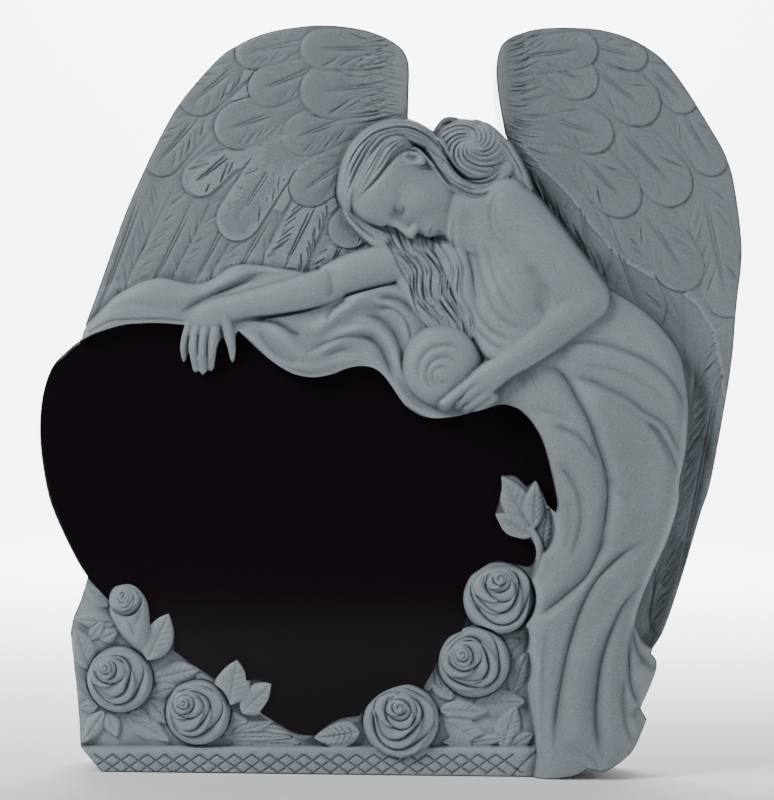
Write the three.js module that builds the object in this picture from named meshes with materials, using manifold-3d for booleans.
// Upright angel headstone, carved from one slab of black granite.
// An angel in relief leans over a polished heart, with two raised wings behind it,
// roses and leaves below, and a narrow hatched band along the foot.
// +Z is up, the carved front faces -Y, and the origin is the middle of the underside.

import * as THREE from "three";
import { mergeVertices } from "three/addons/utils/BufferGeometryUtils.js";
import Module from "manifold-3d";

// Driving dimensions, in millimetres
const STONE_WIDTH = 983;
const STONE_HEIGHT = 1053;
const STONE_DEPTH = 200;
// from the polished face of the heart out to the near arm, the highest carving
const RELIEF_HEIGHT = 60;
// chamfer round the back of the slab
const BACK_ARRIS = 5;

// The carving is drawn on a sheet: x runs right, y runs down, and h is its height over the
// heart's polished face, all in sheet units. The sheet is scaled to the sizes above at the end.
const SHEET_LEFT = 7;
const SHEET_TOP = 15;
// the sheet is square, and its side is halved this many times into cells
const SHEET_SIDE = 768;
const HALVINGS = 9;
const CELLS = 2 ** HALVINGS;
const CELL = SHEET_SIDE / CELLS;
const ROW = CELLS + 1;
// ends of the foot as drawn: its line falls a little from left to right, and is turned level
const FOOT_LEFT = [102, 772];
const FOOT_RIGHT = [554, 777.5];
const FOOT_LEAN = Math.atan2(FOOT_RIGHT[1] - FOOT_LEFT[1], FOOT_RIGHT[0] - FOOT_LEFT[0]);
// how far, in sheet units, the faceted carving may stray from the drawn one
const FACET_TOLERANCE = 1.25;

// Outline of the slab, as smooth runs that meet at corners
const OUTLINE = [
  [FOOT_LEFT, [80, 746]],
  [[80, 746], [78, 712], [75, 680], [70, 634]],
  [[70, 634], [73, 618], [80, 601], [87.5, 577]],
  [[87.5, 577], [77, 560], [62, 530], [50, 500], [43, 465], [40, 430], [43, 395], [52, 368], [66, 352],
    [83, 338]],
  [[83, 338], [85, 324]],
  [[85, 324], [97, 291], [110, 254], [126, 210], [146, 165], [167, 123], [183, 98], [218, 58], [241, 43],
    [268, 32], [296, 27], [323, 25], [355, 28], [379, 35], [397, 45], [406, 56], [409, 70], [408.5, 95],
    [408, 119]],
  [[408, 119], [416, 122], [424, 126.5], [433, 131.5]],
  [[433, 131.5], [441, 120.5], [450, 117.5], [467, 120.5], [481, 122], [494, 130], [506.5, 142]],
  [[506.5, 142], [500, 110], [496.5, 85], [496, 66], [500, 48], [509, 39], [523, 33], [541, 29],
    [569, 28], [597, 30], [623, 36.5], [648, 49], [669, 67], [691, 98], [709, 127], [725, 156],
    [734, 188], [741, 250], [736, 303], [730, 372], [712, 476], [701, 514], [685, 568], [672, 608],
    [661, 637], [650.5, 653]],
  [[650.5, 653], [656, 661], [654, 675], [640, 708]],
  [[640, 708], [646, 719]],
  [[646, 719], [632, 750], [613, 765], [600, 770]],
  [[600, 770], [586, 767]],
  [[586, 767], [573, 774], FOOT_RIGHT],
];

// Edge of the polished heart where it shows, as smooth runs that meet at corners.
// Beyond the slab's left side it runs wide.
const HEART = [
  [[60, 350], [83, 340], [96, 333.4], [122, 325.4], [140, 323.6], [158, 323], [186, 325]],
  [[186, 325], [182, 341], [181.5, 352], [184.3, 362.5], [188.4, 354], [190.4, 352.5]],
  [[190.4, 352.5], [193.5, 369.6], [196, 372.4], [199.7, 370.5]],
  [[199.7, 370.5], [203.2, 375], [207.6, 370]],
  [[207.6, 370], [211, 371], [214, 368.6], [217, 349], [220, 341], [223.6, 336.4]],
  [[223.6, 336.4], [228.2, 347], [231.2, 360.4], [233.8, 361.9], [236, 351], [236, 336], [239.4, 330.8]],
  [[239.4, 330.8], [259, 350], [272, 360.6], [285.3, 369.6], [297.6, 375], [314, 377.3], [333, 374],
    [346.3, 368.6], [359.6, 366], [373, 367.8], [382.7, 374.5], [391.2, 385.4], [406, 405.9],
    [425.5, 417], [451, 417], [476.5, 411], [500, 404.5], [511.2, 406], [520.4, 410.5], [531, 421.4],
    [541, 438], [548, 459.3], [556.9, 500], [555.2, 512.8]],
  [[555.2, 512.8], [545.8, 504.4]],
  [[545.8, 504.4], [541.2, 490.6], [535.5, 480.5]],
  [[535.5, 480.5], [525.9, 486.6]],
  [[525.9, 486.6], [514.4, 476], [501, 475.7]],
  [[501, 475.7], [501.3, 490.6], [494.9, 514.3]],
  [[494.9, 514.3], [504.5, 531.9], [519, 538], [532, 541], [536, 554], [529.7, 566], [516, 564]],
  [[516, 564], [500, 560.4], [490.4, 562.2]],
  [[490.4, 562.2], [466.9, 578]],
  [[466.9, 578], [462, 599], [466, 618], [461.8, 631]],
  [[461.8, 631], [446, 640], [436.8, 660], [435.6, 666.5]],
  [[435.6, 666.5], [422.7, 689]],
  [[422.7, 689], [406, 684.6], [379.6, 694], [358.9, 716]],
  [[358.9, 716], [336.5, 720.3], [314, 736]],
  [[314, 736], [292.5, 732], [259.8, 712]],
  [[259.8, 712], [268.5, 699], [271.5, 684]],
  [[271.5, 684], [258, 679.8], [246.6, 680.5]],
  [[246.6, 680.5], [244.5, 670], [237.5, 659.5]],
  [[237.5, 659.5], [226, 667], [215.8, 679]],
  [[215.8, 679], [192, 664], [173.7, 650.4]],
  [[173.7, 650.4], [175, 634], [169.4, 613.4]],
  [[169.4, 613.4], [160, 617], [150.4, 625]],
  [[150.4, 625], [148, 603], [140, 590], [128.9, 584], [110.8, 587.6]],
  [[110.8, 587.6], [109.6, 601.3]],
  [[109.6, 601.3], [87.5, 577], [80, 566]],
  [[80, 566], [25, 560]],
  [[25, 560], [25, 350]],
];

// Feathers as root x, y, tip x, y and half their width, each laid over the ones before it
const FEATHERS = [
  // left wing, from its long lower feathers up to the short ones on its bow
  [150, 172, 92, 330, 20], [205, 180, 140, 310, 24], [240, 195, 184, 305, 22], [272, 215, 222, 300, 22],
  [322, 190, 276, 285, 23], [350, 225, 322, 290, 22], [385, 205, 332, 240, 21], [235, 150, 186, 191, 19],
  [283, 150, 226, 238, 22], [350, 160, 293, 198, 21], [206, 108, 150, 172, 19], [350, 118, 284, 143, 22],
  [292, 108, 216, 134, 24], [246, 58, 184, 109, 20], [315, 68, 250, 95, 21], [390, 84, 301, 94, 29],
  [312, 40, 236, 56, 17], [405, 48, 301, 50, 21],
  // right wing
  [700, 300, 688, 640, 34], [735, 300, 668, 640, 22], [655, 260, 662, 480, 26], [600, 200, 650, 335, 26],
  [580, 190, 590, 280, 24], [700, 175, 729, 317, 21], [640, 205, 693, 288, 25], [676, 106, 719, 174, 18],
  [616, 124, 684, 201, 25], [575, 150, 634, 212, 24], [548, 118, 612, 140, 22], [640, 62, 692, 110, 15],
  [590, 66, 655, 118, 24], [540, 62, 596, 88, 22], [588, 44, 646, 62, 14], [505, 60, 597, 48, 19],
];
const FEATHER_LIFT = 4.2;

// Deep hollow between the angel's back and the right wing
const WING_HOLLOW = [
  [505, 150], [520, 178], [545, 208], [575, 245], [600, 275], [625, 292], [655, 315], [680, 345], [692, 385],
  [694, 430], [686, 480], [682, 520], [668, 560], [652, 600], [645, 640],
];

const heights = new Float32Array(ROW * ROW);

const sheetX = (column) => SHEET_LEFT + column * CELL;
const sheetY = (row) => SHEET_TOP + row * CELL;
const clamp = (value, low, high) => Math.min(high, Math.max(low, value));

// Works over each sample in a box of the sheet: shape gives its new height from x, y and the old one
function carve(x0, y0, x1, y1, shape) {
  const firstColumn = clamp(Math.ceil((x0 - SHEET_LEFT) / CELL), 0, CELLS);
  const lastColumn = clamp(Math.floor((x1 - SHEET_LEFT) / CELL), 0, CELLS);
  const firstRow = clamp(Math.ceil((y0 - SHEET_TOP) / CELL), 0, CELLS);
  const lastRow = clamp(Math.floor((y1 - SHEET_TOP) / CELL), 0, CELLS);
  for (let row = firstRow; row <= lastRow; row += 1) {
    for (let column = firstColumn; column <= lastColumn; column += 1) {
      const i = row * ROW + column;
      heights[i] = shape(sheetX(column), sheetY(row), heights[i]);
    }
  }
}

// Smooth curve through points, whose values past x and y ride along it
function smooth(points, spacing = 5) {
  const curve = [];
  for (let i = 0; i < points.length - 1; i += 1) {
    const a = points[Math.max(i - 1, 0)];
    const b = points[i];
    const c = points[i + 1];
    const d = points[Math.min(i + 2, points.length - 1)];
    const steps = Math.max(2, Math.round(Math.hypot(c[0] - b[0], c[1] - b[1]) / spacing));
    for (let step = 0; step < steps; step += 1) {
      const t = step / steps;
      curve.push(b.map((value, k) => {
        const bend = 2 * a[k] - 5 * value + 4 * c[k] - d[k];
        const swing = 3 * (value - c[k]) + d[k] - a[k];
        return value + 0.5 * t * (c[k] - a[k] + t * (bend + t * swing));
      }));
    }
  }
  curve.push(points.at(-1));
  return curve;
}

// The place on a path nearest to a sample: its distance, its share of the way along,
// the side it lies on (+1 right of travel) and the path's riding values there
function nearest(path, x, y) {
  let best = Infinity;
  let found = { distance: Infinity, share: 0, side: 0, values: [] };
  for (let i = 0; i < path.length - 1; i += 1) {
    const a = path[i];
    const b = path[i + 1];
    const dx = b[0] - a[0];
    const dy = b[1] - a[1];
    const t = clamp(((x - a[0]) * dx + (y - a[1]) * dy) / (dx * dx + dy * dy || 1), 0, 1);
    const apart = (x - a[0] - t * dx) ** 2 + (y - a[1] - t * dy) ** 2;
    if (apart < best) {
      best = apart;
      found = { a, b, t, i, side: Math.sign((x - a[0]) * dy - (y - a[1]) * dx) };
    }
  }
  const values = found.a.slice(2).map((value, k) => THREE.MathUtils.lerp(value, found.b[k + 2], found.t));
  return {
    distance: Math.sqrt(best),
    share: (found.i + found.t) / (path.length - 1),
    side: found.side,
    values,
  };
}

// Works over each sample within reach of a path
function along(path, reach, shape) {
  const xs = path.map((point) => point[0]);
  const ys = path.map((point) => point[1]);
  carve(
    Math.min(...xs) - reach, Math.min(...ys) - reach, Math.max(...xs) + reach, Math.max(...ys) + reach,
    (x, y, h) => {
      const place = nearest(path, x, y);
      return place.distance < reach ? shape(h, place) : h;
    },
  );
}

// The higher of two heights, eased together over a blend
function join(a, b, blend) {
  const share = clamp(0.5 + (0.5 * (b - a)) / blend, 0, 1);
  return a * (1 - share) + b * share + blend * share * (1 - share);
}

// Rounded form along points of x, y, radius and crest height, which falls by depth times its radius
function limb(points, depth = 0.8, blend = 2, wall = 2.2) {
  const path = smooth(points);
  const reach = Math.max(...path.map((point) => point[2])) * 1.15 + 6;
  along(path, reach, (h, { distance, values: [radius, crest] }) => {
    const share = Math.min(distance / radius, 1);
    const fall = depth * radius * (1 - Math.sqrt(1 - share * share));
    return join(h, crest - fall - wall * Math.max(distance - radius, 0), blend);
  });
}

// Rounded boss with an oval outline, turned by an angle in degrees
function dome(x0, y0, halfLength, halfWidth, turn, crest, depth, blend = 2, wall = 2.2) {
  const reach = Math.max(halfLength, halfWidth) * 1.2 + 4;
  const cos = Math.cos(THREE.MathUtils.degToRad(turn));
  const sin = Math.sin(THREE.MathUtils.degToRad(turn));
  carve(x0 - reach, y0 - reach, x0 + reach, y0 + reach, (x, y, h) => {
    const u = ((x - x0) * cos + (y - y0) * sin) / halfLength;
    const v = ((y - y0) * cos - (x - x0) * sin) / halfWidth;
    const share = Math.hypot(u, v);
    const fall = depth * (1 - Math.sqrt(Math.max(1 - share ** 2.2, 0)));
    const edge = wall * Math.min(halfLength, halfWidth) * Math.max(share - 1, 0);
    return join(h, crest - fall - edge, blend);
  });
}

// 0 at both ends of a path, rising to 1 over the taper
function ends(share, taper) {
  const t = clamp(Math.min(share, 1 - share) / taper, 0, 1);
  return t * t * (3 - 2 * t);
}

// Soft ridge laid along a curve, such as a roll of cloth
function ridge(points, width, height, taper = 0.15) {
  along(smooth(points), width * 2.2, (h, { distance, share }) => (
    h + height * Math.exp(-((distance / width) ** 2)) * ends(share, taper)
  ));
}

// Sharp valley between two round folds, steeper on one side where it leans
function crease(points, width, depth, lean = 0, taper = 0.2) {
  const reach = width * 4;
  along(smooth(points), reach, (h, { distance, share, side }) => {
    const slope = Math.exp(-distance / (width * (1 + lean * side)));
    return h - depth * slope * ends(share, taper) * (1 - distance / reach);
  });
}

// Closed outline from smooth runs that meet at corners
function outlineOf(runs) {
  const spacing = 7;
  const open = runs.flatMap((run) => (run.length > 2 ? smooth(run, spacing) : run).slice(0, -1));
  return [...open, runs.at(-1).at(-1)];
}

// Whether a sample lies inside a closed outline
function inside(outline, x, y) {
  let hit = false;
  outline.forEach((a, i) => {
    const b = outline[(i + 1) % outline.length];
    if (a[1] > y !== b[1] > y && x > a[0] + ((y - a[1]) / (b[1] - a[1])) * (b[0] - a[0])) hit = !hit;
  });
  return hit;
}

// Marks each sample inside a closed outline, row by row between the outline's crossings
function filled(outline) {
  const mask = new Uint8Array(ROW * ROW);
  for (let row = 0; row <= CELLS; row += 1) {
    const y = sheetY(row);
    const crossings = outline.flatMap((a, i) => {
      const b = outline[(i + 1) % outline.length];
      return a[1] > y !== b[1] > y ? [a[0] + ((y - a[1]) / (b[1] - a[1])) * (b[0] - a[0])] : [];
    }).sort((one, other) => one - other);
    for (let k = 0; k < crossings.length; k += 2) {
      const first = Math.ceil((crossings[k] - SHEET_LEFT) / CELL);
      const last = Math.floor((crossings[k + 1] - SHEET_LEFT) / CELL);
      mask.fill(1, row * ROW + clamp(first, 0, ROW), row * ROW + clamp(last + 1, 0, ROW));
    }
  }
  return mask;
}

// Works over each sample inside an outline and up to a margin outside it. The shape is also given
// how far inside the outline the sample lies, negative outside.
function within(runs, margin, shape) {
  const outline = outlineOf(runs);
  const edge = [...outline, outline[0]];
  const xs = outline.map((point) => point[0]);
  const ys = outline.map((point) => point[1]);
  carve(
    Math.min(...xs) - margin, Math.min(...ys) - margin, Math.max(...xs) + margin, Math.max(...ys) + margin,
    (x, y, h) => {
      const apart = nearest(edge, x, y).distance * (inside(outline, x, y) ? 1 : -1);
      return apart > -margin ? shape(h, apart, x, y) : h;
    },
  );
}

// Replaces the height inside an outline, easing over its edge
function panel(runs, ease, shape) {
  within(runs, ease, (h, apart) => {
    const share = clamp(apart / ease + 0.5, 0, 1);
    return h + (shape(h) - h) * share;
  });
}

// Broad form inside an outline, with the crest height that a function gives, whose edge rounds down
// by a depth over a width and then drops as a steep wall
function swell(runs, crest, edge, depth, blend) {
  const wall = 2.2;
  const margin = 12;
  within(runs, margin, (h, apart, x, y) => {
    const share = 1 - clamp(apart / edge, 0, 1);
    const fall = depth * (1 - Math.sqrt(1 - share * share)) + wall * Math.max(-apart, 0);
    return join(h, crest(x, y) - fall, blend);
  });
}

// Value between stops of place and value
function between(stops, place) {
  const i = clamp(stops.findIndex((stop) => stop[0] > place), 1, stops.length - 1);
  const [a, b] = [stops[i - 1], stops[i]];
  return THREE.MathUtils.lerp(a[1], b[1], clamp((place - a[0]) / (b[0] - a[0]), 0, 1));
}

// Ground of the two wings: high at the leading edges beside the gap, low towards the figure
function wingGround(x, y) {
  if (x < 455) {
    const bow = clamp((x - 340) / 70, 0, 1) * clamp((190 - y) / 60, 0, 1);
    const root = Math.exp(-Math.max(x - (215 - 0.45 * (y - 60)), 0) / 40);
    return 2 + 9 * bow * bow - 5 * clamp((y - 120) / 200, 0, 1) - 6 * root;
  }
  const bow = clamp((585 - x) / 80, 0, 1) * clamp((260 - y) / 100, 0, 1);
  return 4 + 8 * bow * bow - 4 * clamp((y - 250) / 150, 0, 1) - 3 * clamp((x - 600) / 140, 0, 1);
}

function carveWings() {
  const hollow = smooth(WING_HOLLOW, 12);
  const hollowWidth = 22;
  const hollowDepth = 15;
  const ground = (x, y) => {
    const away = x > 480 && y > 120 ? nearest(hollow, x, y).distance : Infinity;
    return wingGround(x, y) - hollowDepth * Math.exp(-((away / hollowWidth) ** 2));
  };
  carve(-Infinity, -Infinity, Infinity, Infinity, (x, y) => ground(x, y));
  FEATHERS.forEach(([x0, y0, x1, y1, half]) => {
    const length = Math.hypot(x1 - x0, y1 - y0);
    const ux = (x1 - x0) / length;
    const uy = (y1 - y0) / length;
    const nose = half * 1.15;
    carve(
      Math.min(x0, x1) - half, Math.min(y0, y1) - half, Math.max(x0, x1) + half, Math.max(y0, y1) + half,
      (x, y, h) => {
        const u = (x - x0) * ux + (y - y0) * uy;
        const v = (y - y0) * ux - (x - x0) * uy;
        const share = Math.hypot(Math.max(u - length + nose, 0) / nose, v / half);
        const fade = clamp((4 * u) / length, 0, 1);
        const cover = clamp(((1 - share) * half) / 2, 0, 1) * fade;
        const blade = ground(x, y) + FEATHER_LIFT * clamp(u / length, 0, 1) - 1.6 * share ** 3;
        return h + (blade - h) * cover;
      },
    );
  });
}

// Bed in which the roses and leaves lie, cut lower than the heart's face
function carveBed() {
  const bedDepth = 11;
  panel([
    [[60, 800], [60, 560]],
    [[60, 560], [100, 575], [174, 648], [240, 700], [290, 735], [320, 735], [430, 690], [450, 640],
      [470, 600], [524, 585]],
    [[524, 585], [528, 640], [528, 700], [536, 746], [536, 800]],
    [[536, 800], [60, 800]],
  ], 3, () => -bedDepth);
}

// Cloth that lies over the heart's top edge, on the left and below the angel's far arm
function carveDrape() {
  swell([
    [[80, 346], [82, 334], [98, 315], [116, 297], [131, 288], [142, 282.5], [157, 279], [168, 279],
      [190, 284], [206, 282.5], [219, 275.5], [230, 268], [244, 264.7], [260, 266], [275, 268],
      [305, 273]],
    [[305, 273], [318, 290], [300, 305], [250, 322], [236, 345]],
    [[236, 345], [160, 350], [80, 346]],
  ], (x) => 13 + 3 * clamp((x - 180) / 100, 0, 1), 16, 10, 2);
  crease([[100, 322], [116, 308], [140, 304], [165, 308], [195, 304]], 5, 2, 0.3);
  crease([[88, 334], [111, 322], [131, 320], [162, 319.5], [188, 322]], 2, 2.4, 0, 0.05);
  crease([[176, 320], [194, 305], [212, 296], [232, 287], [256, 276], [280, 272]], 5, 5, -0.3);
  crease([[205, 298], [226, 290], [250, 281], [276, 275], [302, 268]], 3.4, 3);
  const drapeHeight = 13;
  panel([
    [[180, 326], [230, 322], [300, 312], [345, 296], [405, 280]],
    [[405, 280], [425, 300], [440, 330], [480, 340], [500, 345]],
    [[500, 345], [560, 400], [560, 430], [450, 425], [400, 405]],
    [[400, 405], [373, 372], [345, 372], [314, 382], [280, 372], [239, 335], [180, 335]],
  ], 4, (h) => Math.max(h, drapeHeight));
  ridge([
    [262, 322], [285, 338], [300, 352], [318, 352], [345, 335], [372, 328], [392, 345], [402, 370],
    [418, 398],
  ], 8, 6.5);
  ridge([
    [243, 333], [262, 350], [285, 363], [310, 368], [340, 360], [365, 358], [384, 372], [398, 392],
    [420, 410],
  ], 7, 4.5);
  ridge([[300, 322], [318, 328], [340, 312], [370, 300], [398, 312], [410, 335], [414, 360]], 7, 5.5);
  ridge([[345, 303], [375, 290], [405, 296], [425, 316]], 6, 4);
  crease([[250, 320], [270, 321], [284, 327], [295, 334], [306, 337]], 3, 6, 0.3);
  crease([
    [300, 360], [314, 349], [335, 340], [352, 336], [368, 338], [380, 348], [388, 364], [398, 388],
  ], 3.4, 5.5);
  crease([[360, 315], [376, 318], [388, 326], [398, 340], [403, 360], [407, 385]], 3.6, 6);
  crease([[372, 308], [390, 309], [403, 317], [410, 331], [411, 348]], 3, 5);
}

// Hips and long skirt, the flap of cloth at their side, and the bodice over them
function carveBody() {
  swell([
    [[632, 618], [640, 640], [654, 652], [660, 662], [658, 678], [642, 708], [650, 720], [636, 752],
      [616, 768]],
    [[616, 768], [610, 740], [615, 680], [620, 640], [632, 618]],
  ], (x) => 10 - 4 * clamp((x - 630) / 26, 0, 1), 9, 6, 1.5);
  // crest height and middle of the gown by their place down the sheet
  const crest = [
    [290, 24], [340, 28], [400, 34], [450, 36], [500, 35], [560, 31], [640, 26], [720, 22], [790, 20],
  ];
  const middle = [[290, 590], [400, 606], [500, 608], [560, 600], [640, 594], [790, 588]];
  const halfWidth = 75;
  const sideFall = 7;
  swell([
    [[560, 300], [600, 290], [623, 299], [648, 316], [669, 339], [679, 357], [684, 382], [686, 413],
      [683, 452], [677, 480], [676, 501], [671, 522], [664, 543], [652, 569], [642, 593], [634, 618],
      [633, 640], [642, 660]],
    [[642, 660], [654, 672], [644, 700], [634, 712], [640, 730], [628, 756], [612, 790]],
    [[612, 790], [530, 790]],
    [[530, 790], [536, 746], [528, 690], [526, 640], [528, 600], [545, 560], [545, 500], [520, 420],
      [480, 400], [470, 360]],
    [[470, 360], [520, 330], [560, 300]],
  ], (x, y) => between(crest, y) - sideFall * ((x - between(middle, y)) / halfWidth) ** 2, 22, 17, 3);
  // fold that runs down beside the heart
  limb([
    [505, 402, 22, 19], [540, 402, 30, 22], [566, 432, 31, 25], [577, 480, 30, 26], [577, 530, 30, 25],
    [564, 572, 27, 22], [545, 602, 22, 18],
  ], 0.42, 6);
  ridge([[560, 350], [600, 358], [640, 372], [672, 402], [680, 440]], 13, 3.2);
  ridge([[570, 400], [610, 412], [650, 445], [662, 490], [650, 530]], 20, 4);
  ridge([[612, 600], [588, 650], [578, 700], [578, 756]], 9, 3.6);
  ridge([[640, 566], [615, 610], [606, 660], [606, 720], [614, 756]], 9, 3.6);
  // bodice, higher towards the near arm
  const bodice = [[446, 21], [470, 28], [495, 35], [520, 37], [570, 36]];
  swell([
    [[446, 205], [470, 192], [500, 182], [530, 198], [560, 250], [575, 300], [570, 330]],
    [[570, 330], [540, 360], [500, 372]],
    [[500, 372], [480, 350], [462, 315], [452, 280], [446, 240], [446, 205]],
  ], (x) => between(bodice, x), 16, 9, 6);
  dome(509, 292, 32, 38, -24, 43, 12, 8);
  const folds = [
    [[[562, 342], [580, 342], [603, 345], [632, 355], [654, 367], [669, 381], [679, 398], [685, 420]],
      4.5, 4.6, 0.35],
    [[[560, 377], [588, 381], [606, 389], [625, 398], [641, 411], [661, 424], [674, 446], [679, 462]],
      4.6, 3.8, 0.25],
    [[[640, 420], [655, 431], [664, 445], [671, 460], [677, 480]], 3.6, 4],
    [[[528, 364], [540, 365], [553, 369], [565, 380], [576, 400], [587, 421], [595, 444], [603, 469],
      [606, 491], [604, 513], [600, 536], [592, 562]], 6, 8.5, -0.2],
    [[[548, 424], [573, 434], [587, 447], [597, 462]], 3.8, 4.2],
    [[[550, 458], [567, 476], [576, 494], [579, 518], [573, 545], [566, 560]], 5, 5, 0.2],
    [[[606, 474], [615, 490], [630, 503]], 5, 2.8],
    [[[652, 538], [636, 543], [622, 551], [609, 562], [594, 579], [580, 604], [570, 634], [563, 664],
      [558, 692], [554, 723], [553, 765]], 5, 7, 0.2],
    [[[650, 572], [636, 585], [620, 604], [608, 629], [599, 660], [595, 691], [594, 716], [598, 745],
      [605, 768]], 5, 6.5, 0.2],
    [[[606, 526], [598, 548], [584, 575], [564, 594], [543, 611], [530, 618]], 5.5, 7, -0.2],
    [[[634, 614], [629, 638], [627, 660], [629, 684], [636, 702], [642, 712]], 4, 6],
    [[[623, 672], [621, 698], [624, 722], [632, 748]], 3.8, 4.5],
    [[[473, 238], [477, 262], [482, 286], [492, 310], [510, 326]], 3.4, 2.6],
    [[[468, 262], [470, 290], [478, 316], [494, 334], [514, 342]], 3.4, 3.4],
    [[[530, 268], [538, 282], [541, 300], [533, 318]], 4, 4.5],
  ];
  folds.forEach((fold) => crease(...fold));
}

// Far arm along the top of the heart, its hand hanging over the edge
function carveFarArm() {
  limb([[420, 256, 20, 22], [385, 265, 20, 24], [352, 274, 19, 25], [333, 281, 17, 23]], 0.75);
  limb([
    [334, 284, 17, 22], [315, 290, 17.5, 25], [285, 297, 16, 25], [255, 303, 13.5, 23], [234, 308, 12, 21],
  ], 0.75);
  crease([[326, 268], [331, 278], [333, 290], [330, 299]], 3.5, 4);
  limb([
    [238, 307, 12.5, 21], [222, 312, 14, 20], [209, 319, 16.5, 19], [203, 328, 17, 16], [201, 336, 16, 13],
  ], 0.55);
  const fingers = [
    [[190, 326, 5, 15], [186, 338, 5, 15], [184, 350, 4.6, 12], [184.4, 358, 3.8, 8]],
    [[197, 330, 5, 18], [194.5, 345, 5, 18], [195.6, 358, 4.8, 14], [197, 367.5, 4.2, 9]],
    [[206, 331, 5, 19], [203.5, 346, 5, 19], [203, 360, 4.8, 15], [203.5, 370, 4.2, 9]],
    [[216, 330, 5.2, 19], [213, 345, 5.2, 18], [211.5, 357, 5, 14], [211, 366, 4.2, 9]],
    [[225, 314, 6, 20], [228, 326, 5.6, 19], [231.5, 342, 5, 15], [233.3, 357, 4, 8]],
  ];
  fingers.forEach((finger) => limb(finger, 0.9, 1));
}

// Ball of gathered cloth in the crook of the near arm, wound in a spiral
function carveClothBall() {
  dome(442, 366, 40, 41, 0, 33, 20, 1.5);
  const turns = [[440, 371, 24, 110, 400, 3.2], [439, 375, 14, 60, 330, 3.4]];
  turns.forEach(([x, y, radius, from, to, depth]) => {
    const arc = new THREE.EllipseCurve(
      x, y, radius, radius * 0.92, THREE.MathUtils.degToRad(from), THREE.MathUtils.degToRad(to),
    );
    crease(arc.getPoints(16).map((point) => point.toArray()), 3, depth, 0.4, 0.15);
  });
}

// Long hair that falls from the nape, and the locks that part it
function carveHangingHair() {
  limb([
    [374, 232, 12, 14], [398, 246, 22, 19], [424, 273, 29, 23], [442, 304, 27, 24], [458, 330, 18, 20],
    [468, 346, 9, 16],
  ], 0.3, 4);
  limb([
    [440, 216, 22, 31], [450, 240, 18, 29], [458, 262, 14, 28], [466, 295, 10, 27], [474, 332, 7, 22],
  ], 0.4, 5);
  crease([[398, 240], [410, 270], [424, 300], [440, 330]], 2.6, 3.4);
  crease([[415, 238], [430, 268], [440, 298], [454, 332]], 2.6, 3.4);
  crease([[436, 236], [446, 264], [454, 296], [464, 336]], 2.6, 3.4);
  crease([[452, 234], [458, 268], [464, 300], [472, 334]], 2.6, 3.4);
}

// The head is built upright from blended forms in shares of its own height, then laid on its side.
// Its axes are its left, the way it faces and its crown, over the sheet's right, depth and up.
const HEAD_HEIGHT = 126;
const HEAD_X = 404;
const HEAD_Y = 182;
const HEAD_DEPTH = 8;
// a head in relief is a little flatter than one in the round
const HEAD_FLATNESS = 0.8;
const facing = new THREE.Vector3(-0.2, -0.45, -0.87).normalize();
const crown = new THREE.Vector3(-0.93, 0, 0.3);
crown.addScaledVector(facing, -crown.dot(facing)).normalize();
const leftward = new THREE.Vector3().crossVectors(crown, facing);

// Each form of the head gives how far outside it a place lies
function oval(centre, radii) {
  return (p) => {
    const q = [0, 1, 2].map((k) => (p[k] - centre[k]) / radii[k]);
    const reach = Math.hypot(...q);
    const slope = Math.hypot(...q.map((value, k) => value / radii[k]));
    return slope > 0 ? (reach * (reach - 1)) / slope : -Math.min(...radii);
  };
}

// Bar with round ends, tapered from one radius to the other
function bar(from, to, fromRadius, toRadius) {
  const line = [0, 1, 2].map((k) => to[k] - from[k]);
  const squared = line[0] ** 2 + line[1] ** 2 + line[2] ** 2;
  return (p) => {
    const q = [0, 1, 2].map((k) => p[k] - from[k]);
    const t = clamp((q[0] * line[0] + q[1] * line[1] + q[2] * line[2]) / squared, 0, 1);
    const radius = fromRadius + (toRadius - fromRadius) * t;
    return Math.hypot(...q.map((value, k) => value - t * line[k])) - radius;
  };
}

// Forms laid on or cut out in turn, on one side or as a pair, each eased over its blend into those
// before it
function blended(steps) {
  const far = 9;
  return (p) => {
    const mirrored = [Math.abs(p[0]), p[1], p[2]];
    return steps.reduce((all, { form, blend, cuts, pair }) => {
      const apart = form(pair ? mirrored : p);
      return cuts ? join(all, -apart, blend) : -join(-all, -apart, blend);
    }, far);
  };
}

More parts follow.
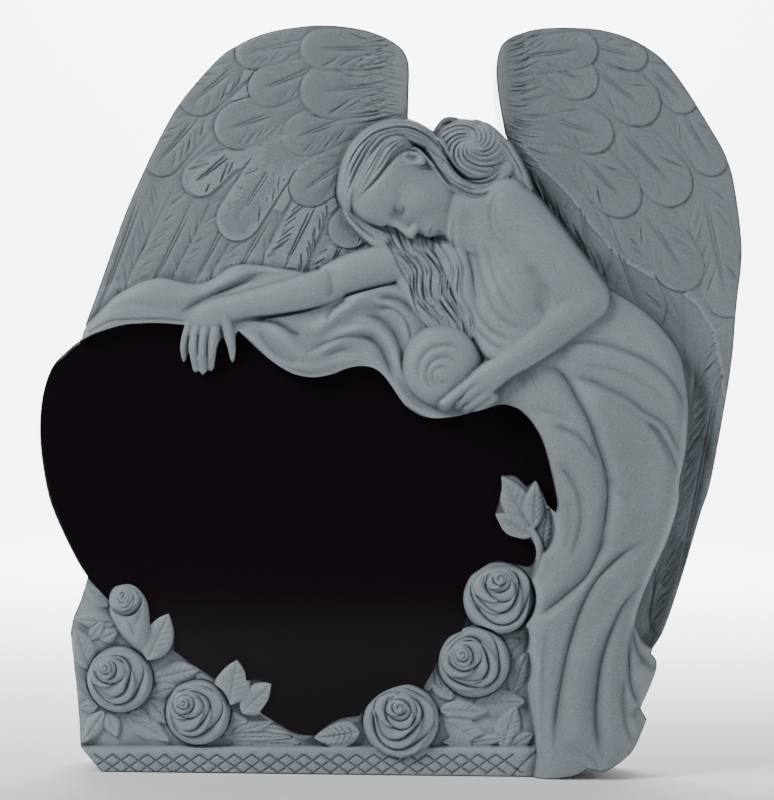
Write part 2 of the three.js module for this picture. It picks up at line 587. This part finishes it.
const HEAD = blended([
  // skull, face, forehead, jaw and chin
  { form: oval([0, -0.05, 0.14], [0.32, 0.42, 0.35]), blend: 0.01 },
  { form: oval([0, 0.1, -0.1], [0.272, 0.285, 0.34]), blend: 0.08 },
  { form: oval([0, 0.17, 0.17], [0.25, 0.225, 0.21]), blend: 0.09 },
  { form: oval([0, 0.12, -0.27], [0.222, 0.225, 0.165]), blend: 0.1 },
  { form: oval([0, 0.285, -0.41], [0.07, 0.08, 0.068]), blend: 0.12 },
  // cheeks, brows, and the hollows that hold the closed eyes
  { form: oval([0.15, 0.215, -0.12], [0.095, 0.095, 0.1]), blend: 0.1, pair: true },
  { form: bar([0.05, 0.35, 0.085], [0.19, 0.272, 0.09], 0.026, 0.02), blend: 0.08, pair: true },
  { form: oval([0.12, 0.425, 0.002], [0.08, 0.09, 0.05]), blend: 0.06, cuts: true, pair: true },
  // nose
  { form: bar([0, 0.352, 0.065], [0, 0.44, -0.125], 0.024, 0.028), blend: 0.055 },
  { form: oval([0, 0.444, -0.15], [0.034, 0.038, 0.031]), blend: 0.035 },
  { form: oval([0.038, 0.402, -0.166], [0.026, 0.034, 0.023]), blend: 0.03, pair: true },
  // mouth, lips and the hollow over the chin
  { form: oval([0, 0.312, -0.275], [0.115, 0.09, 0.085]), blend: 0.07 },
  { form: oval([0, 0.372, -0.268], [0.085, 0.045, 0.022]), blend: 0.012 },
  { form: oval([0, 0.368, -0.306], [0.07, 0.045, 0.026]), blend: 0.012 },
  { form: oval([0, 0.425, -0.352], [0.055, 0.045, 0.02]), blend: 0.05, cuts: true },
  // lids, ears and neck
  { form: oval([0.126, 0.272, -0.01], [0.064, 0.06, 0.056]), blend: 0.025, pair: true },
  { form: oval([0.305, -0.045, -0.02], [0.042, 0.058, 0.1]), blend: 0.02, pair: true },
  { form: bar([0, -0.03, -0.3], [0, -0.16, -0.7], 0.16, 0.17), blend: 0.08 },
]);

// The head's heights are found by going in from the front until its surface is met
function carveHead() {
  const reach = 0.62;
  const near = 0.002;
  const start = HEAD_HEIGHT * reach;
  carve(HEAD_X - start, HEAD_Y - start, HEAD_X + start, HEAD_Y + start, (x, y, h) => {
    let depth = -reach;
    while (depth < reach) {
      const place = new THREE.Vector3((x - HEAD_X) / HEAD_HEIGHT, depth, (HEAD_Y - y) / HEAD_HEIGHT);
      const apart = HEAD([place.dot(leftward), place.dot(facing), place.dot(crown)]);
      if (apart < near) return join(h, HEAD_DEPTH - depth * HEAD_HEIGHT * HEAD_FLATNESS, 1);
      depth += 0.9 * apart;
    }
    return h;
  });
}

// Hair swept from the forehead over the ear and wound into a bun
function carveHair() {
  const crest = [[338, 20], [350, 33], [370, 40], [396, 41], [425, 41], [450, 36], [470, 30]];
  swell([
    [[350, 214], [342, 208], [337.5, 196], [338, 180], [342, 164], [352, 146], [366, 132.5], [384, 124],
      [400, 122], [416, 125], [430, 133], [444, 148], [455, 170], [466, 190]],
    [[466, 190], [470, 199]],
    [[470, 199], [456, 196], [446, 182], [438, 166], [429, 154], [416, 148], [404, 153], [394, 166],
      [382, 180], [368, 193], [356, 204], [350, 214]],
  ], (x, y) => between(crest, x) - 10 * clamp((y - 192) / 24, 0, 1), 12, 13, 2);
  dome(470, 155, 38, 36, 10, 35, 22, 3);
  limb([[446, 182, 8, 32], [460, 191, 8, 31], [480, 191, 8, 28], [497, 178, 8, 26]], 0.6, 3);
  crease([[345, 204], [347, 180], [358, 158], [378, 140], [404, 136], [426, 146], [444, 172]], 2.4, 3);
  crease([[341, 196], [343, 172], [358, 148], [380, 132], [406, 129], [430, 142], [450, 172]], 2.4, 3);
  const locks = 7;
  const bunRadius = 38;
  for (let lock = 0; lock < locks; lock += 1) {
    const start = (lock / locks) * 2 * Math.PI;
    const curl = Array.from({ length: 8 }, (_, i) => {
      const t = i / 7;
      const radius = 6 + (bunRadius - 6) * t;
      const angle = start + 2.3 * (1 - t) ** 1.2;
      return [469 + radius * Math.cos(angle), 154 + radius * 0.95 * Math.sin(angle)];
    });
    crease(curl, 2.4, 3.2);
  }
}

// Near arm: bare shoulder, elbow held out, and the hand resting on the ball of cloth
function carveNearArm() {
  limb([[470, 206, 18, 31], [488, 205, 20, 35], [506, 204, 22, 38]], 0.35, 10);
  limb([
    [506, 202, 22, 38], [514, 213, 25, 40], [529, 233, 26, 42], [553, 262, 24.5, 42], [573, 286, 23.5, 41],
    [584, 300, 23, 40],
  ], 0.62, 6);
  limb([
    [584, 301, 23, 40], [566, 318, 20.5, 41], [543, 337, 18.5, 42], [520, 354, 15.5, 41], [502, 367, 13, 39],
    [488, 378, 13, 38],
  ], 0.75, 1.5);
  limb([[492, 374, 13, 38], [480, 384, 14, 38], [472, 391, 13, 36]], 0.6);
  const fingers = [
    [[478, 378, 6, 38], [466, 386, 5, 38], [453, 396, 4.6, 36], [444, 403, 3.8, 32]],
    [[482, 386, 6, 38], [472, 392, 5, 38], [464, 398, 4.4, 35], [459, 402, 3.8, 31]],
    [[486, 392, 6, 36], [478, 399, 4.8, 36], [470, 404, 4.2, 32], [466, 407, 3.6, 28]],
  ];
  fingers.forEach((finger) => limb(finger, 0.9, 0.8, 3));
}

// Pointed leaf with a sunken midrib, from its base to its tip
function leaf(x0, y0, x1, y1, half, crest) {
  const length = Math.hypot(x1 - x0, y1 - y0);
  const ux = (x1 - x0) / length;
  const uy = (y1 - y0) / length;
  carve(
    Math.min(x0, x1) - half, Math.min(y0, y1) - half, Math.max(x0, x1) + half, Math.max(y0, y1) + half,
    (x, y, h) => {
      const u = ((x - x0) * ux + (y - y0) * uy) / length;
      if (u <= 0 || u >= 1) return h;
      const width = half * Math.sin(Math.PI * u ** 0.85) ** 0.75 * (1 - 0.12 * u) + 0.01;
      const share = Math.abs((y - y0) * ux - (x - x0) * uy) / width;
      const cover = clamp(((1 - share) * width) / 1.5 + 0.3, 0, 1);
      const midrib = 2 * Math.exp(-((share * width) ** 2));
      return h + (crest + 1.5 * u - 2 * share * share - midrib - h) * cover;
    },
  );
}

function carveLeaves() {
  const low = -6;
  const high = 4;
  const leaves = [
    [116, 624, 74, 619, 10, low], [108, 607, 84, 584, 10, low], [90, 670, 76, 628, 13, low],
    [104, 712, 82, 744, 10, low], [108, 714, 117, 738, 9, low], [126, 716, 170, 742, 13, low],
    [152, 680, 202, 668, 14, low], [232, 735, 272, 722, 9, low], [360, 732, 314, 738, 15, low],
    [452, 700, 430, 672, 10, low], [446, 712, 488, 712, 11, low], [448, 724, 492, 748, 13, low],
    [474, 702, 527, 704, 15, low], [500, 748, 514, 706, 12, low], [512, 668, 527, 630, 11, low],
    [148, 660, 169.6, 613, 17, high], [242, 713, 272, 683, 16, high], [229, 705, 237.6, 659, 19, high],
    [541, 553, 548, 507, 10, high], [533, 533, 501, 475.7, 17, high], [533, 528, 535.5, 480.5, 12, high + 2],
    [531, 536, 495, 514.3, 13, high],
  ];
  leaves.forEach((one) => leaf(...one));
  // stem of the sprig over the heart's right side
  limb([[531, 530, 3.5, 9], [538, 543, 4, 9], [541, 560, 5, 8], [538, 580, 7, 6]], 0.6, 1);
}

// Open rose: a rounded head whose petals step inwards round an off-centre bud
function rose(x0, y0, radius, budX, budY, crest, turn) {
  const foot = -10;
  const petals = 4;
  carve(x0 - radius, y0 - radius, x0 + radius, y0 + radius, (x, y, h) => {
    const share = Math.hypot(x - x0, y - y0) / radius;
    return share < 1 ? Math.max(h, foot + (crest - foot) * Math.sqrt(1 - share ** 2.6)) : h;
  });
  for (let petal = 1; petal <= petals; petal += 1) {
    const share = petal / (petals + 0.8);
    const rim = radius * (1 - share) ** 0.9;
    const x = x0 + (budX - x0) * share + 0.1 * radius * (1 - share) * Math.cos(turn + petal * 2.4);
    const y = y0 + (budY - y0) * share + 0.1 * radius * (1 - share) * Math.sin(turn + petal * 2.4);
    const circle = new THREE.EllipseCurve(x, y, rim, rim, turn + petal, turn + petal + 5.6);
    crease(circle.getPoints(14).map((point) => point.toArray()), 2.2, 4.4 - petal * 0.5, 0.4, 0.1);
  }
}

function carveRoses() {
  // closed bud above the lower left rose
  limb([[146, 652, 5, 2], [138, 632, 15, 11], [130, 608, 20, 16], [127, 600, 17, 16]], 0.75, 1);
  crease([[118, 596], [126, 602], [138, 596], [142, 612]], 2.2, 3);
  const roses = [
    [498.7, 598.2, 36.8, 499, 578, 24, 0.5], [474, 662, 36.5, 461, 653, 22, 2],
    [401, 721, 38.5, 399, 706, 24, 1],
    [120, 680, 33.5, 107, 666, 20, 2.6], [198, 713, 33, 184, 701, 20, 3],
  ];
  roses.forEach((one) => rose(...one));
}

// Plain band along the foot. Its fine hatching is no deeper than a scratch at this size.
function carveBand() {
  const bandHeight = 1;
  panel([
    [[50, 745.5], [538, 750]], [[538, 750], [538, 790]], [[538, 790], [50, 790]], [[50, 790], [50, 745.5]],
  ], 3, () => bandHeight);
}

// The saw-toothed last cut of the chisel is eased a little everywhere
function easeHeights() {
  const before = heights.slice();
  for (let row = 1; row < CELLS; row += 1) {
    for (let column = 1; column < CELLS; column += 1) {
      const i = row * ROW + column;
      const sides = before[i - 1] + before[i + 1] + before[i - ROW] + before[i + ROW];
      heights[i] = 0.4 * before[i] + 0.15 * sides;
    }
  }
}

// How much a stray height counts at each sample: little on a steep wall, and not at all where it is
// cut away
function weigh(matters) {
  const weight = new Float32Array(ROW * ROW);
  for (let row = 1; row < CELLS; row += 1) {
    for (let column = 1; column < CELLS; column += 1) {
      const i = row * ROW + column;
      const across = (heights[i + 1] - heights[i - 1]) / (2 * CELL);
      const down = (heights[i + ROW] - heights[i - ROW]) / (2 * CELL);
      weight[i] = matters[i] / (1 + across * across + down * down);
    }
  }
  return weight;
}

// Twice the area of a triangle of samples, positive where it turns from a to b to c with the sheet's y down
const cross = (a, b, c) => (b[0] - a[0]) * (c[1] - a[1]) - (b[1] - a[1]) * (c[0] - a[0]);

// Whether d lies inside the circle through a, b and c
function inCircle(a, b, c, d) {
  const [ax, ay, bx, by, cx, cy] = [a, b, c].flatMap((point) => [point[0] - d[0], point[1] - d[1]]);
  const [aa, bb, cc] = [ax * ax + ay * ay, bx * bx + by * by, cx * cx + cy * cy];
  return ax * (by * cc - bb * cy) - ay * (bx * cc - bb * cx) + aa * (bx * cy - by * cx) > 0;
}

// Triangles of the sheet, with a corner added wherever the carving strays from them by more than the
// tolerance. A triangle is three corners, and mate names the facing side of its neighbour for each side.
function facets(weight, tolerance) {
  const points = [[0, 0], [CELLS, 0], [CELLS, CELLS], [0, CELLS]];
  const corners = [0, 1, 2, 0, 2, 3];
  const mate = [-1, -1, 3, 2, -1, -1];
  const touched = new Set();
  const next = (side) => (side % 3 === 2 ? side - 2 : side + 1);
  const before = (side) => (side % 3 === 0 ? side + 2 : side - 1);
  const pair = (side, other) => {
    mate[side] = other;
    if (other >= 0) mate[other] = side;
  };

  // Turns the shared side of two triangles where the new corner, before it, makes them slivers
  function settle(side) {
    const other = mate[side];
    if (other < 0) return;
    const [p, a, b, d] = [before(side), side, next(side), before(other)].map((i) => points[corners[i]]);
    if (cross(a, b, p) !== 0 && !inCircle(a, b, p, d)) return;
    const [pSide, dSide] = [before(side), before(other)];
    const [pCorner, dCorner] = [corners[pSide], corners[dSide]];
    const [outerP, outerD] = [mate[next(side)], mate[next(other)]];
    corners[next(side)] = dCorner;
    corners[next(other)] = pCorner;
    pair(side, outerD);
    pair(other, outerP);
    pair(next(side), next(other));
    touched.add(Math.floor(side / 3)).add(Math.floor(other / 3));
    settle(side);
    settle(dSide);
  }

  function add(triangle, point) {
    const first = triangle * 3;
    const [a, b, c] = corners.slice(first, first + 3);
    const [ab, bc, ca] = mate.slice(first, first + 3);
    const p = points.push(point) - 1;
    const second = corners.length;
    const third = second + 3;
    corners[first + 2] = p;
    corners.push(b, c, p, c, a, p);
    pair(first, ab);
    pair(second, bc);
    pair(third, ca);
    pair(first + 1, second + 2);
    pair(second + 1, third + 2);
    pair(third + 1, first + 2);
    touched.add(triangle).add(second / 3).add(third / 3);
    [first, second, third].forEach(settle);
  }

  // The sample inside a triangle that strays most
  function worstOf(triangle) {
    const [a, b, c] = [0, 1, 2].map((k) => points[corners[triangle * 3 + k]]);
    const [ha, hb, hc] = [a, b, c].map(([column, row]) => heights[row * ROW + column]);
    const area = cross(a, b, c);
    const worst = { triangle, stray: tolerance, point: null };
    for (let row = Math.min(a[1], b[1], c[1]); row <= Math.max(a[1], b[1], c[1]); row += 1) {
      for (let column = Math.min(a[0], b[0], c[0]); column <= Math.max(a[0], b[0], c[0]); column += 1) {
        const i = row * ROW + column;
        if (weight[i] === 0) continue;
        const point = [column, row];
        const u = cross(b, c, point) / area;
        const v = cross(c, a, point) / area;
        if (u < 0 || v < 0 || u + v > 1) continue;
        const stray = Math.abs(heights[i] - ha * u - hb * v - hc * (1 - u - v)) * weight[i];
        if (stray > worst.stray) Object.assign(worst, { stray, point });
      }
    }
    return worst;
  }

  let pending = [0, 1];
  while (pending.length > 0) {
    const worst = pending.map(worstOf).filter(({ point }) => point);
    worst.sort((one, other) => other.stray - one.stray);
    touched.clear();
    worst.forEach(({ triangle, point }) => {
      if (!touched.has(triangle)) add(triangle, point);
    });
    pending = [...touched];
  }
  return Array.from({ length: corners.length / 3 }, (_, t) => (
    [0, 1, 2].map((k) => points[corners[3 * t + k]])
  ));
}

carveWings();
carveBed();
carveDrape();
carveBody();
carveFarArm();
carveHangingHair();
carveHead();
carveHair();
carveClothBall();
carveNearArm();
carveLeaves();
carveRoses();
carveBand();
easeHeights();

// The sheet's outline turned level, and the scales that bring it to the stone's sizes
const turned = ([x, y]) => [
  x * Math.cos(FOOT_LEAN) + y * Math.sin(FOOT_LEAN),
  y * Math.cos(FOOT_LEAN) - x * Math.sin(FOOT_LEAN),
];
const outline = outlineOf(OUTLINE);
const turnedOutline = outline.map(turned);
const leftmost = Math.min(...turnedOutline.map((point) => point[0]));
const rightmost = Math.max(...turnedOutline.map((point) => point[0]));
const highest = Math.min(...turnedOutline.map((point) => point[1]));
const foot = turned(FOOT_LEFT)[1];
const xScale = STONE_WIDTH / (rightmost - leftmost);
const zScale = STONE_HEIGHT / (foot - highest);
const reliefScale = RELIEF_HEIGHT / heights.reduce((most, h) => Math.max(most, h));
const HEART_FACE = -STONE_DEPTH / 2 + RELIEF_HEIGHT;

// Millimetres across and up, from a point of the sheet
function place(point) {
  const [x, y] = turned(point);
  return [(x - (leftmost + rightmost) / 2) * xScale, (foot - y) * zScale];
}

function solidOf(geometry) {
  geometry.deleteAttribute("normal");
  geometry.deleteAttribute("uv");
  const merged = mergeVertices(geometry, 1e-4);
  return new wasm.Manifold(new wasm.Mesh({
    numProp: 3,
    vertProperties: merged.attributes.position.array,
    triVerts: new Uint32Array(merged.index.array),
  }));
}

// Prism over an outline of the sheet, from the back y to the front y
function prism(points, back, front, bevel) {
  const shape = new THREE.Shape(points.map((point) => new THREE.Vector2(...place(point))));
  const geometry = new THREE.ExtrudeGeometry(shape, {
    depth: back - front - 2 * bevel,
    bevelEnabled: bevel > 0,
    bevelThickness: bevel,
    bevelSize: bevel,
    bevelOffset: -bevel,
    bevelSegments: 1,
  });
  geometry.rotateX(Math.PI / 2);
  geometry.translate(0, back - bevel, 0);
  return solidOf(geometry);
}

// Block whose front is the carved sheet and whose flat back lies behind the slab
function carvedBlock(triangles) {
  const back = STONE_DEPTH;
  const vertices = [];
  const numbers = new Map();
  const number = ([column, row], behind) => {
    const key = (row * ROW + column) * 2 + (behind ? 1 : 0);
    if (!numbers.has(key)) {
      const [x, z] = place([sheetX(column), sheetY(row)]);
      const y = behind ? back : HEART_FACE - heights[row * ROW + column] * reliefScale;
      numbers.set(key, vertices.length / 3);
      vertices.push(x, y, z);
    }
    return numbers.get(key);
  };
  const faces = [];
  const onEdge = (a, b) => [0, 1].some((k) => a[k] === b[k] && (a[k] === 0 || a[k] === CELLS));
  triangles.forEach(([a, b, c]) => {
    faces.push(number(a), number(c), number(b));
    faces.push(number(a, true), number(b, true), number(c, true));
    [[a, b], [b, c], [c, a]].filter(([p, q]) => onEdge(p, q)).forEach(([p, q]) => {
      faces.push(number(p), number(q), number(q, true));
      faces.push(number(p), number(q, true), number(p, true));
    });
  });
  return new wasm.Manifold(new wasm.Mesh({
    numProp: 3,
    vertProperties: new Float32Array(vertices),
    triVerts: new Uint32Array(faces),
  }));
}

const heart = outlineOf(HEART);
const onSlab = filled(outline);
const inHeart = filled(heart);
// inside the heart the block stands well over its face, so that the cut there is clean
const HEART_SPARE = 4;
inHeart.forEach((hit, i) => {
  if (hit) heights[i] = Math.max(heights[i], HEART_SPARE);
});
// samples more than a few cells inside the heart or outside the slab are cut away, and need no facets
const EDGE_CELLS = 3;
const shifts = [0, -EDGE_CELLS, EDGE_CELLS, -EDGE_CELLS * ROW, EDGE_CELLS * ROW];
const stays = (i) => onSlab[i] && !inHeart[i];
const matters = onSlab.map((_, i) => (shifts.some((shift) => stays(i + shift)) ? 1 : 0));

const wasm = await Module();
wasm.setup();

const slab = prism(outline, STONE_DEPTH / 2, -STONE_DEPTH, BACK_ARRIS);
const opening = prism(heart, HEART_FACE, -STONE_DEPTH, 0);
const block = carvedBlock(facets(weigh(matters), FACET_TOLERANCE));
const stone = block.intersect(slab).subtract(opening);

const { vertProperties, triVerts } = stone.getMesh();
const geometry = new THREE.BufferGeometry();
geometry.setAttribute("position", new THREE.BufferAttribute(vertProperties, 3));
geometry.setIndex(new THREE.BufferAttribute(triVerts, 1));
const mesh = new THREE.Mesh(
  geometry.toNonIndexed(),
  new THREE.MeshStandardMaterial({ color: 0x7a858a, roughness: 0.8, metalness: 0, flatShading: true }),
);
mesh.name = "angel_headstone";

const headstone = new THREE.Group();
headstone.add(mesh);
export default headstone;
